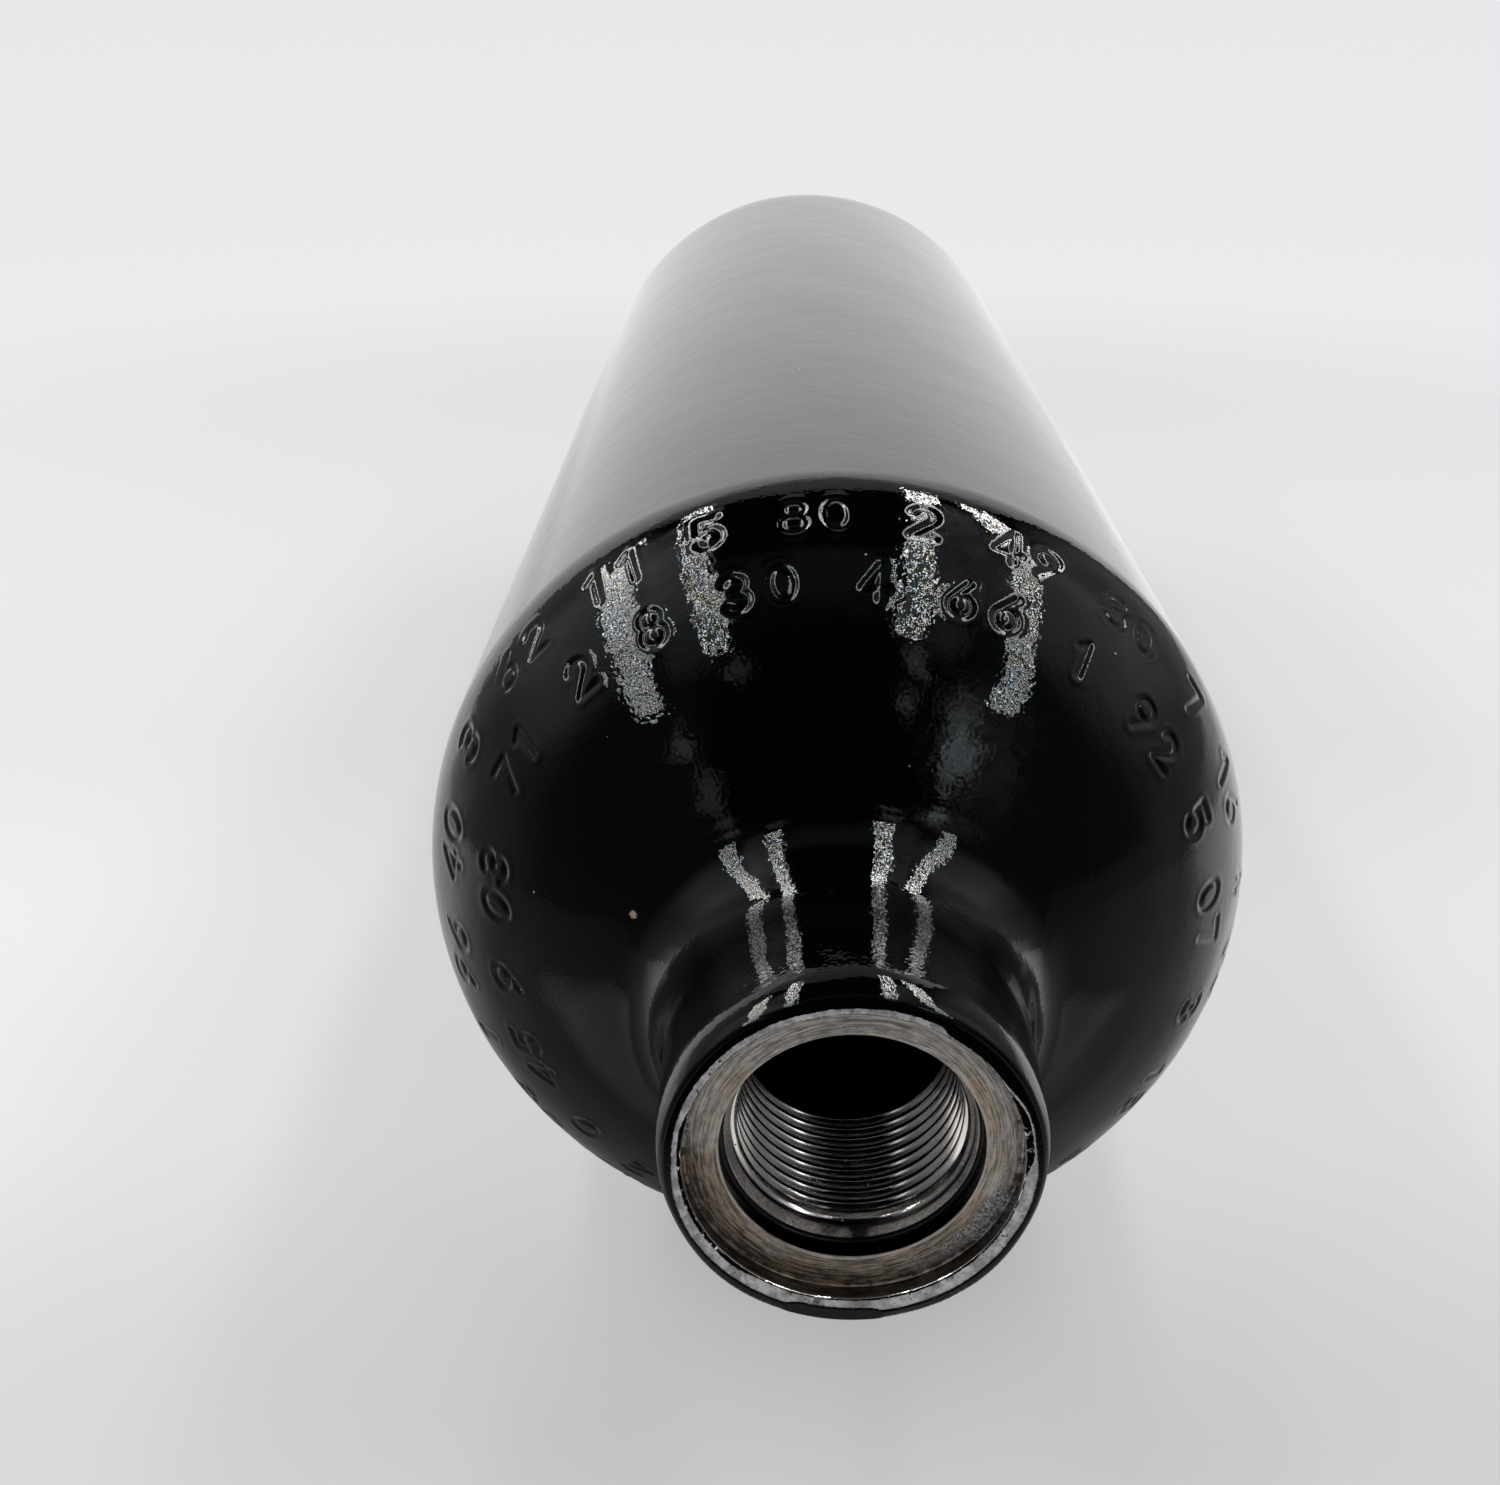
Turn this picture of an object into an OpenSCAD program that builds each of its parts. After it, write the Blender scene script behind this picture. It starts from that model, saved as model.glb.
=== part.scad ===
// Small steel diving cylinder, lying on its side, with its valve and boot taken off.
// Its axis runs along Y with the neck towards -Y. The origin is on the floor, under the middle of its length.
// Every outline below is a list of [radius, depth] points, where depth is measured from the front of the rim.

/* [Body] */
// Outside diameter over the paint
body_d = 112; // [90:1:150]
// Total length from the rim to the tip of the base
body_len = 400; // [300:5:700]
// Steel thickness of the straight wall
wall_t = 3.4; // [2.5:0.1:6]
// Length of the straight skirt that each dome section has before the wall section starts
skirt = 2; // [1:0.5:10]

/* [Shoulder] */
// Axial depth of the shoulder curve
shoulder_depth = 43.4; // [36:0.2:60]
// Roundness of the shoulder: 2 is an ellipse, and less is nearer to a cone
shoulder_power = 1.8; // [1.6:0.05:2.2]
// Steel thickness at the crown of the shoulder
crown_t = 10; // [7:0.5:14]

/* [Base] */
// Axial depth of the base dome
base_depth = 45.5; // [30:0.5:60]
// Steel thickness at the middle of the base
base_t = 6; // [4:0.5:10]

/* [Neck] */
// Depth of the crease where the neck ends and the fillet to the shoulder starts
neck_len = 20; // [16:0.5:30]
// How much the neck's radius grows from its lip to the crease
neck_draft = 1.1; // [0:0.1:3]
// Width of the raised rim around the valve recess, paint included
rim_w = 2.4; // [1.6:0.1:4]
// Rounding of the lip
lip_round = 0.9; // [0.8:0.1:3]
// Angle at which the fillet leaves the neck
root_angle = 5; // [0:1:25]
// Radial width of the fillet
fillet_w = 6.4; // [6:0.2:11]
// How far the shoulder's crown lies behind the crease
crown_set = 5.5; // [4:0.1:8]

/* [Valve port] */
// Nominal diameter of the parallel valve thread
thread_d = 27; // [22:0.5:30]
// Pitch of the thread
thread_pitch = 2; // [1.5:0.25:2.25]
// Number of thread turns
thread_turns = 10; // [6:1:12]
// Width of the step from the thread's root out to the O-ring seat's wall
seat_step = 0.75; // [0.5:0.05:3]
// Depth of the O-ring seat, below the landing face
seat_depth = 2.7; // [2:0.05:5]
// Width of the face that the valve lands on
face_w = 3.85; // [2.5:0.05:6]
// Depth of the recess in front of the landing face
recess_depth = 2.7; // [1.5:0.1:4]
// Width of the lead chamfer at the thread's mouth, beyond its root
lead_w = 0.2; // [0.1:0.05:0.4]
// How much the throat widens from the thread's end to the gas space
throat_flare = 1; // [0.5:0.25:4]

/* [Coats] */
// Thickness of the black topcoat
topcoat_t = 0.25; // [0.15:0.05:0.6]
// Thickness of the pale primer
primer_t = 0.15; // [0.1:0.05:0.4]
// Angle round the lip at which the topcoat ends, from the rim's flat
topcoat_start = 28; // [5:1:80]
// Width of bare steel between the recess and the primer
primer_set = 0.15; // [0:0.05:0.6]

/* [Hidden] */

// Steps in the round outlines
LIP_STEPS = 8;
FILLET_STEPS = 10;
DOME_STEPS = 28;
// Facets of OpenSCAD's own preview
ROUND_FN = 120;
// Share of the depth of a sharp V that a metric thread keeps, and its flats as shares of the pitch
THREAD_DEPTH = 0.54127;
CREST_FLAT = 1 / 4;
ROOT_FLAT = 1 / 8;
// Least flat left on the rim beside its rounding
RIM_FLAT = 0.3;
// Slope of the lead chamfer, as depth over width
LEAD_SLOPE = 1.2;

coat_t = topcoat_t + primer_t;
body_r = body_d / 2;
steel_r = body_r - coat_t;
inner_r = steel_r - wall_t;

// Radii of the valve port, from the thread outwards
root_r = thread_d / 2;
crest_r = root_r - THREAD_DEPTH * thread_pitch;
seat_r = root_r + seat_step;
recess_r = seat_r + face_w;
lip_r = recess_r + rim_w;
crease_r = lip_r + neck_draft;

// Depths from the rim
face_at = recess_depth;
seat_floor = face_at + seat_depth;
lead_r = root_r + lead_w;
thread_from = seat_floor + (lead_r - crest_r) * LEAD_SLOPE;
thread_to = thread_from + thread_turns * thread_pitch;
crown_at = neck_len + crown_set;
wall_from = crown_at + shoulder_depth;
wall_to = body_len - base_depth;
cavity_from = crown_at + coat_t + crown_t;
cavity_to = body_len - coat_t - base_t;

// How far in front of the wall a superellipse's quarter lies at radius r: half is its radius, deep its depth
function dome_rise(r, half, deep, power) = deep * pow(1 - pow(min(r / half, 1), power), 1 / power);
function shoulder_at(r) = wall_from - dome_rise(r, body_r, shoulder_depth, shoulder_power);
function cavity_at(r) = wall_from - dome_rise(r, inner_r, wall_from - cavity_from, shoulder_power);

// Radii from r0 to r1 on a dome whose full radius is half, at even angles of its quarter
function dome_radii(half, r0, r1, steps) =
    let (a0 = asin(r0 / half), a1 = asin(r1 / half))
    [for (i = [0 : steps]) half * sin(a0 + (a1 - a0) * i / steps)];

// A point on the quadratic curve through p0 and p2 that heads for p1
function curve(p0, p1, p2, t) = (1 - t) * (1 - t) * p0 + 2 * t * (1 - t) * p1 + t * t * p2;
function unit(v) = v / norm(v);
function cross2(u, v) = u[0] * v[1] - u[1] * v[0];
// Where the line from p along u meets the line from q along v
function meet(p, u, q, v) = p + u * cross2(q - p, v) / cross2(u, v);
// An outline moved inwards by t, square to itself. Its last point is on the axis and moves along it.
function inward(path, t) = [
    for (i = [0 : len(path) - 2])
    let (
        after = unit(path[i + 1] - path[i]),
        before = i == 0 ? after : unit(path[i] - path[i - 1]),
        along = unit(before + after)
    )
    path[i] + t / (along * before) * [-along[1], along[0]],
    path[len(path) - 1] - [0, t]
];
function reversed(path) = [for (i = [len(path) - 1 : -1 : 0]) path[i]];
function part_of(path, from, to) = [for (i = [from : to]) path[i]];

// The painted outline, from the rim's flat to the tip of the base
lip_fillet = min(lip_round, rim_w - RIM_FLAT);
lip_line = [
    for (i = [0 : LIP_STEPS])
    let (a = 90 * i / LIP_STEPS)
    [lip_r - lip_fillet * (1 - sin(a)), lip_fillet * (1 - cos(a))]
];
fillet_end_r = crease_r + fillet_w;
fillet_end = [fillet_end_r, shoulder_at(fillet_end_r)];
FINE = 0.01;
fillet_out = unit([FINE, shoulder_at(fillet_end_r + FINE) - fillet_end[1]]);
crease = [crease_r, neck_len];
fillet_aim = meet(crease, [sin(root_angle), cos(root_angle)], fillet_end, fillet_out);
fillet_line = [for (i = [0 : FILLET_STEPS]) curve(crease, fillet_aim, fillet_end, i / FILLET_STEPS)];
shoulder_line = [for (r = dome_radii(body_r, fillet_end_r, body_r, DOME_STEPS)) [r, shoulder_at(r)]];
base_line = [
    for (i = [0 : DOME_STEPS])
    let (a = 90 * i / DOME_STEPS)
    [body_r * cos(a), wall_to + base_depth * sin(a)]
];
painted = concat(
    [[recess_r + primer_set, 0]],
    lip_line,
    part_of(fillet_line, 0, FILLET_STEPS - 1),
    shoulder_line,
    [[body_r, wall_from + skirt], [body_r, wall_to - skirt]],
    base_line
);
primed = inward(painted, topcoat_t);
steel = inward(painted, coat_t);
// Places along these three outlines
LIP_AT = 1;
CREASE_AT = LIP_AT + LIP_STEPS + 1;
WALL_AT = CREASE_AT + FILLET_STEPS + DOME_STEPS + 1;
BASE_AT = WALL_AT + 1;
TIP_AT = BASE_AT + DOME_STEPS + 1;
topcoat_at = LIP_AT + round(LIP_STEPS * topcoat_start / 90);

// Where the boss's side, square to the rim, comes out in the gas space
split_r = steel[CREASE_AT][0];
throat_r = root_r + throat_flare;

// Outlines turned about the cylinder's axis, which lies along Y at the body's radius above the floor
module turned(outline) {
    translate([0, -body_len / 2, body_r])
        rotate([-90, 0, 0])
            rotate_extrude($fn = ROUND_FN)
                polygon(outline);
}

// One coat over a stretch of the outline, between its outer and inner faces
module coat(outer, inner, from, to) {
    turned(concat(part_of(outer, from, to), reversed(part_of(inner, from, to))));
}

// The valve port from the recess down to the throat. The thread is made of ring grooves at its true pitch and depth.
port_line = concat(
    [
        [recess_r, coat_t],
        [recess_r, face_at],
        [seat_r, face_at],
        [seat_r, seat_floor],
        [lead_r, seat_floor],
        [crest_r, thread_from],
    ],
    [
        for (i = [0 : thread_turns - 1])
        let (middle = thread_from + (i + 1 / 2) * thread_pitch)
        each [
            [crest_r, middle - (1 - CREST_FLAT) * thread_pitch / 2],
            [root_r, middle - ROOT_FLAT * thread_pitch / 2],
            [root_r, middle + ROOT_FLAT * thread_pitch / 2],
            [crest_r, middle + (1 - CREST_FLAT) * thread_pitch / 2],
        ]
    ],
    [
        [crest_r, thread_to],
        [root_r, thread_to],
        [throat_r, cavity_at(throat_r)],
    ]
);

module neck_boss() {
    color([0.55, 0.5, 0.44])
        turned(concat(
            part_of(steel, LIP_AT, CREASE_AT),
            [for (r = dome_radii(inner_r, split_r, throat_r, FILLET_STEPS)) [r, cavity_at(r)]],
            part_of(reversed(port_line), 1, len(port_line) - 1)
        ));
}

module shoulder_dome() {
    color([0.45, 0.45, 0.46])
        turned(concat(
            part_of(steel, CREASE_AT, WALL_AT),
            [[inner_r, wall_from + skirt]],
            [for (r = dome_radii(inner_r, inner_r, split_r, DOME_STEPS)) [r, cavity_at(r)]]
        ));
}

module cylinder_wall() {
    color([0.5, 0.5, 0.51])
        turned([steel[WALL_AT], steel[BASE_AT], [inner_r, wall_to - skirt], [inner_r, wall_from + skirt]]);
}

module bottom_dome() {
    color([0.45, 0.45, 0.46])
        turned(concat(
            part_of(steel, BASE_AT, TIP_AT),
            [
                for (i = [0 : DOME_STEPS])
                let (a = 90 * i / DOME_STEPS)
                [inner_r * sin(a), wall_to + (cavity_to - wall_to) * cos(a)]
            ],
            [[inner_r, wall_to - skirt]]
        ));
}

module primer_coat() {
    color([0.72, 0.73, 0.74])
        coat(primed, steel, 0, TIP_AT);
}

module black_coat_shoulder() {
    color([0.02, 0.025, 0.025])
        coat(painted, primed, topcoat_at, WALL_AT);
}

module black_coat_wall() {
    color([0.03, 0.035, 0.035])
        coat(painted, primed, WALL_AT, BASE_AT);
}

module black_coat_base() {
    color([0.02, 0.025, 0.025])
        coat(painted, primed, BASE_AT, TIP_AT);
}

neck_boss();
shoulder_dome();
cylinder_wall();
bottom_dome();
primer_coat();
black_coat_shoulder();
black_coat_wall();
black_coat_base();
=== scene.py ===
"""Small diving cylinder on its side: black paint over primer, stamped plain digits, threaded valve port."""
import math

import bmesh
import bpy
import numpy as np
from mathutils import Matrix, Vector
from mathutils.bvhtree import BVHTree


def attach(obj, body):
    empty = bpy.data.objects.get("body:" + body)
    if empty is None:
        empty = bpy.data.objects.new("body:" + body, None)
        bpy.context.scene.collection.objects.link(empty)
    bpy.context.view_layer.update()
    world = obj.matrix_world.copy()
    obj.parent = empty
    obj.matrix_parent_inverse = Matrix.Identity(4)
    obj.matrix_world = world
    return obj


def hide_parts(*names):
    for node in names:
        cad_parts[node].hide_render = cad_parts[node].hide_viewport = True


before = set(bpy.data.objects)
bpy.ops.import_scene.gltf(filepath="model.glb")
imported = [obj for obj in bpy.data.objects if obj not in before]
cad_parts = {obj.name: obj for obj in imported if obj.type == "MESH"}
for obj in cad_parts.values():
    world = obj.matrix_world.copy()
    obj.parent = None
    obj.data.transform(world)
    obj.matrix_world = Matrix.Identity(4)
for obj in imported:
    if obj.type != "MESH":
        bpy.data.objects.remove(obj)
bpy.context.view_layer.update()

MM = 0.001

# ---------------------------------------------------------------- sizes, in mm, as in the part's source
BODY_R = 56.0
BODY_LEN = 400.0
NECK_LEN = 20.0
NECK_DRAFT = 1.1
LIP_R = 20.5
LIP_ROUND = 0.9
ROOT_ANGLE = math.radians(5)
FILLET_W = 6.4
CROWN_AT = 25.5
SHOULDER_DEPTH = 43.4
SHOULDER_POWER = 1.8
WALL_FROM = CROWN_AT + SHOULDER_DEPTH
BASE_DEPTH = 45.5
WALL_TO = BODY_LEN - BASE_DEPTH
TOPCOAT_T = 0.25
PRIMER_T = 0.15
COAT_T = TOPCOAT_T + PRIMER_T
WALL_T = 3.4
CROWN_T = 10.0
INNER_R = BODY_R - COAT_T - WALL_T
RECESS_R = 18.1
FACE_AT = 2.7
SEAT_R = 14.25
SEAT_FLOOR = 5.4
LEAD_R = 13.7
THREAD_FROM = 6.939
THREAD_PITCH = 2.0
THREAD_TURNS = 10
THREAD_TO = THREAD_FROM + THREAD_TURNS * THREAD_PITCH
ROOT_R = 13.5
CREST_R = 12.4175
THROAT_R = 14.5
PRIMER_SET = 0.15
RIM_FROM = RECESS_R + PRIMER_SET
RIM_FLAT = LIP_R - LIP_ROUND - RIM_FROM

# ---------------------------------------------------------------- camera and image points
W, H = 1500, 1485
SENSOR_W = 36.0
LENS = 43.507
# Focal length in pixels of the photograph
FOCAL = max(W, H) * LENS / SENSOR_W
CAM_AT = Vector((-0.00860, -0.35650, 0.17247))
CAM_PITCH = -23.56
CAM_YAW = 0.817

# The object's extreme x and y, and features, in the photograph's 1500 x 1485 frame
IMAGE_POINTS = {
    "object_left_x": 433,
    "object_right_x": 1245,
    "object_top_y": 195,
    "object_bottom_y": 1320.5,
    "lip_left": (656, 1137),
    "lip_right": (1050, 1140),
    "recess_bottom": (853, 1300),
    "recess_top": (853, 1016),
    "face_inner_left": (720.7, 1150),
    "face_inner_right": (987, 1146),
    "face_inner_bottom": (853, 1258),
    "crease_top": (846, 894),
    "stamps_outer": (905, 517),
    "stamps_inner": (896, 586),
    "paint_chip": (633, 915),
}


def link_object(name, data):
    """A new object with this data, in the scene."""
    obj = bpy.data.objects.new(name, data)
    bpy.context.scene.collection.objects.link(obj)
    return obj


def make_camera():
    data = bpy.data.cameras.new("camera")
    data.sensor_fit = "AUTO"
    data.sensor_width = SENSOR_W
    data.lens = LENS
    data.clip_start, data.clip_end = 0.01, 100
    cam = link_object("camera", data)
    yaw = Matrix.Rotation(math.radians(CAM_YAW), 4, "Z")
    pitch = Matrix.Rotation(math.radians(90 + CAM_PITCH), 4, "X")
    cam.matrix_world = Matrix.Translation(CAM_AT) @ yaw @ pitch
    bpy.context.scene.camera = cam
    return cam


CAM_TURN = make_camera().matrix_world.to_3x3()


def view_ray(x, y):
    return (CAM_TURN @ Vector((x - W / 2, H / 2 - y, -FOCAL))).normalized()


def place(x, y, tree):
    """Where the ray through an image point meets a surface, or the surface's place nearest the ray."""
    d = view_ray(x, y)
    hit = tree.ray_cast(CAM_AT, d)[0]
    if hit is None:
        near = [CAM_AT + d * (0.05 + 0.005 * i) for i in range(180)]
        hit = min((tree.find_nearest(p) for p in near), key=lambda f: f[3])[0]
    return hit


def to_image(points):
    """Image x, y of points given in metres, as an array."""
    p = (np.asarray(points, float) - np.array(CAM_AT)) @ np.array(CAM_TURN)
    scale = FOCAL / -p[:, 2]
    return np.stack([W / 2 + p[:, 0] * scale, H / 2 - p[:, 1] * scale], 1)


# ---------------------------------------------------------------- outlines: radius, and depth from the rim
def dome_rise(r, half, deep, power):
    return deep * (1 - np.minimum(np.asarray(r, float) / half, 1) ** power) ** (1 / power)


def shoulder_at(r):
    return WALL_FROM - dome_rise(r, BODY_R, SHOULDER_DEPTH, SHOULDER_POWER)


def cavity_at(r):
    return WALL_FROM - dome_rise(r, INNER_R, WALL_FROM - (CROWN_AT + COAT_T + CROWN_T), SHOULDER_POWER)


def cross2(u, v):
    return u[0] * v[1] - u[1] * v[0]


# The neck is straight behind this depth, with this radius and slope, and rolls off to the lip before it
NECK_BEAD = 6.5
BEAD_R = 21.12
NECK_SLOPE = 0.012
BEAD_DROP = 0.819
BEAD_POWER = 3.2
# It curves out from this depth to its crease with the shoulder
ROOT_FROM = 17.0
CREASE_R = 21.4
# How far the lip's rounding turns before the neck takes over
LIP_TURN = math.radians(71.5)


def neck_radius(depth, bead=NECK_BEAD):
    """Radius of the painted neck: rolled off at the lip, straight, then curving out towards the crease."""
    depth = np.asarray(depth, float)
    rolled = BEAD_DROP * np.maximum(0, (bead - depth) / NECK_BEAD) ** BEAD_POWER
    r = BEAD_R + NECK_SLOPE * (depth - NECK_BEAD) - rolled
    t = np.clip((depth - ROOT_FROM) / (NECK_LEN - ROOT_FROM), 0, 1)
    straight = BEAD_R + NECK_SLOPE * (NECK_LEN - NECK_BEAD)
    return r + (CREASE_R - straight) * t * t


def painted_outline():
    """The painted outline from the rim's flat to the tip of the base, finely stepped."""
    rim = [(r, 0.0) for r in np.linspace(RIM_FROM, LIP_R - LIP_ROUND, 21)[:-1]]
    bend = np.linspace(0, LIP_TURN, 33)
    lip = [(LIP_R - LIP_ROUND * (1 - math.sin(a)), LIP_ROUND * (1 - math.cos(a))) for a in bend]
    crease = np.array([CREASE_R, NECK_LEN])
    neck = [(float(neck_radius(d)), d) for d in np.linspace(lip[-1][1], NECK_LEN, 121)[1:]]
    end_r = LIP_R + NECK_DRAFT + FILLET_W
    end = np.array([end_r, float(shoulder_at(end_r))])
    out = np.array([0.01, float(shoulder_at(end_r + 0.01)) - end[1]])
    out /= np.linalg.norm(out)
    head = np.array([math.sin(ROOT_ANGLE), math.cos(ROOT_ANGLE)])
    aim = crease + head * cross2(end - crease, out) / cross2(head, out)
    share = np.linspace(0, 1, 61)[1:]
    fillet = [tuple((1 - t) ** 2 * crease + 2 * t * (1 - t) * aim + t * t * end) for t in share]
    turn = np.linspace(math.asin(end_r / BODY_R), math.pi / 2, 241)[1:]
    shoulder = [(BODY_R * math.sin(a), float(shoulder_at(BODY_R * math.sin(a)))) for a in turn]
    wall = [(BODY_R, d) for d in np.linspace(WALL_FROM, WALL_TO, 121)[1:]]
    turn = np.linspace(0, math.pi / 2, 161)[1:]
    base = [(BODY_R * math.cos(a), WALL_TO + BASE_DEPTH * math.sin(a)) for a in turn]
    return np.array(rim + lip + neck + fillet + shoulder + wall + base)


class Outline:
    """An outline that is read by the length along it."""

    def __init__(self, path):
        self.path = path
        step = np.linalg.norm(np.diff(path, axis=0), axis=1)
        self.at = np.concatenate([[0], np.cumsum(step)])
        along = np.gradient(path, self.at, axis=0)
        along /= np.linalg.norm(along, axis=1)[:, None]
        self.normal = np.stack([along[:, 1], -along[:, 0]], 1)
        self.length = self.at[-1]

    def point(self, s):
        return np.stack([np.interp(s, self.at, self.path[:, i]) for i in (0, 1)], -1)

    def out(self, s):
        n = np.stack([np.interp(s, self.at, self.normal[:, i]) for i in (0, 1)], -1)
        return n / np.linalg.norm(n, axis=-1, keepdims=True)

    def under(self, s, back):
        """Radius and depth of the places back mm under the outline."""
        p, n = self.point(s), self.out(s)
        return p[..., 0] - n[..., 0] * back, p[..., 1] - n[..., 1] * back

    def at_depth(self, depth):
        """Length along the outline at which it first reaches a depth."""
        return float(np.interp(depth, self.path[:, 1], self.at))


PAINTED = Outline(painted_outline())


def smooth(t):
    t = np.clip(t, 0, 1)
    return t * t * (3 - 2 * t)


def ring_angles(n):
    return np.arange(n) / n * 2 * math.pi


def ring_noise(n, seed, *waves):
    """Smooth noise around a ring of n places, about -1 to 1. Each wave is its turns and its amount."""
    r = np.random.default_rng(seed)
    out = np.zeros(n)
    for k, amount in waves:
        for _ in range(3):
            f = k + int(r.integers(0, max(1, k // 3) + 1))
            out += amount / 3 * np.sin(f * ring_angles(n) + r.uniform(0, 2 * math.pi)) * r.uniform(0.6, 1.4)
    return out


def ring_quads(rows, cols, ends=None):
    """Faces between rings: each row with the next one, and the last with the first.

    ends says which row each row runs into after a whole turn, where that isn't itself.
    """
    index = np.arange(rows * cols).reshape(rows, cols)
    index = np.hstack([index, index[:, :1] if ends is None else index[ends, :1]])
    below = np.roll(index, -1, axis=0)
    return np.stack([index[:, :-1], index[:, 1:], below[:, 1:], below[:, :-1]], -1).reshape(-1, 4).tolist()


def ring_mesh(name, rings, ends=None):
    """An object from rings of x, y, z in mm, with no doubled places, empty faces or loose edges."""
    mesh = bpy.data.meshes.new(name)
    mesh.from_pydata((rings.reshape(-1, 3) * MM).tolist(), [], ring_quads(*rings.shape[:2], ends))
    bm = bmesh.new()
    bm.from_mesh(mesh)
    bmesh.ops.remove_doubles(bm, verts=bm.verts, dist=2e-7)
    bmesh.ops.dissolve_degenerate(bm, edges=bm.edges, dist=1e-7)
    bmesh.ops.delete(bm, geom=[e for e in bm.edges if not e.link_faces], context="EDGES")
    bmesh.ops.recalc_face_normals(bm, faces=bm.faces)
    for f in bm.faces:
        f.smooth = True
    bm.to_mesh(mesh)
    bm.free()
    return link_object(name, mesh)


def round_table(n, table, width):
    """Values round a ring of n places from (degrees, value) pairs, each change spread over width degrees."""
    deg = np.arange(n) / n * 360
    deg = np.where(deg > 180, deg - 360, deg)
    at, value = np.array(sorted(table)).T
    out = np.interp(deg, at, value, period=360)
    half = max(1, int(width / 360 * n / 2))
    return sum(np.roll(out, k) for k in range(-half, half + 1)) / (2 * half + 1)


# Radius of the paint's and of the primer's ragged inner edge, by degrees from the top, clockwise from the front
PAINT_EDGE = (
    (-179, 19.1), (-163, 19.1), (-159, 19.72), (-122, 19.68), (-104, 19.45), (-90, 19.12), (-62, 19.1),
    (-34, 19.02), (0, 19), (27, 18.98), (30, 18.42), (58, 18.36), (64, 18.8), (70, 19.15), (88, 19.25),
    (92, 19.42), (104, 19.5), (140, 19.7), (169, 19.8), (173, 19.2),
)
PRIMER_EDGE = (
    (-179, 18.3), (-146, 18.3), (-139, 18.62), (-76, 18.6), (-69, 18.3), (26, 18.27), (60, 18.25), (65, 18.62),
    (72, 18.95), (89, 18.98), (92, 18.5), (96, 18.3), (150, 18.36),
)
# The films' broken edges. The paint's: mm along from the ragged line, and up from the full thickness.
PAINT_BREAK = ((0.0, -TOPCOAT_T - 0.02), (0.015, -0.16), (0.05, -0.08), (0.12, -0.02), (0.22, 0.0))
# The primer's: mm along from the ragged line, and under the paint's outline
PRIMER_BREAK = ((0.0, COAT_T + 0.02), (0.01, TOPCOAT_T + 0.09), (0.03, TOPCOAT_T + 0.03), (0.08, TOPCOAT_T))
# Depths of the rows along the straight neck, where nothing shows between the layers
NECK_ROWS = (18.5, 17, 12, 7, 5, 3)


def turn_about(r, depth, phi):
    """x, y, z in mm of a place on the cylinder. phi is from the top, clockwise seen from the neck."""
    return np.stack([r * np.sin(phi), depth - BODY_LEN / 2 + 0 * phi, BODY_R + r * np.cos(phi)], -1)


def film_ring(s, back, phi):
    """A ring back mm under the painted outline, drawn together at the tip of the base."""
    r, depth = PAINTED.under(s, back)
    return turn_about(0.0 if s >= PAINTED.length - 1e-6 else max(0.0, float(r)), float(depth), phi)


# ---------------------------------------------------------------- stamped digits
def arc(cx, cy, rx, ry, a0, a1, n=14):
    angles = np.radians(np.linspace(a0, a1, n))
    return [(cx + rx * math.cos(a), cy + ry * math.sin(a)) for a in angles]


# Strokes in a cell 1 high, the digit's foot at 0
CELL_MID = (0.31, 0.5)
DIGITS = {
    "0": [arc(0.31, 0.5, 0.29, 0.48, 0, 360, 28)],
    "1": [[(0.12, 0.78), (0.34, 0.98), (0.34, 0.02)]],
    "2": [arc(0.31, 0.7, 0.27, 0.28, 165, -30) + [(0.04, 0.02), (0.6, 0.02)]],
    "3": [arc(0.29, 0.74, 0.25, 0.24, 150, -90) + arc(0.29, 0.26, 0.29, 0.25, 90, -150)],
    "4": [[(0.46, 0.02), (0.46, 0.98), (0.03, 0.3), (0.62, 0.3)]],
    "5": [[(0.55, 0.98), (0.12, 0.98), (0.08, 0.56)] + arc(0.29, 0.32, 0.29, 0.31, 120, -150)],
    "6": [[(0.5, 0.96), (0.1, 0.48)] + arc(0.31, 0.3, 0.28, 0.28, 150, -210, 26)],
    "7": [[(0.04, 0.98), (0.58, 0.98), (0.24, 0.02)]],
    "8": [arc(0.31, 0.75, 0.23, 0.23, -90, 270, 24), arc(0.31, 0.27, 0.28, 0.26, 90, 450, 26)],
    "9": [[(0.12, 0.04), (0.52, 0.52)] + arc(0.31, 0.7, 0.28, 0.28, -30, 330, 26)],
}
STROKE_W = 0.65
# How far both rows lie nearer the neck on the lower left, mm
STAMP_DRIFT = 7.0
# Depth of a stroke, half the width of its slope, and height and half width of the bulge beside it, mm
STAMP_DEPTH = 0.24
STAMP_SOFT = 0.52
STAMP_BULGE = 0.045
BULGE_W = 0.45


def stroke_distance(u, v, strokes):
    """Distance from each place to the nearest stroke of a digit."""
    best = np.full(u.shape, 1e9)
    for line in strokes:
        for (x0, y0), (x1, y1) in zip(line[:-1], line[1:]):
            dx, dy = x1 - x0, y1 - y0
            t = np.clip(((u - x0) * dx + (v - y0) * dy) / (dx * dx + dy * dy + 1e-12), 0, 1)
            best = np.minimum(best, np.hypot(u - x0 - t * dx, v - y0 - t * dy))
    return best


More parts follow.
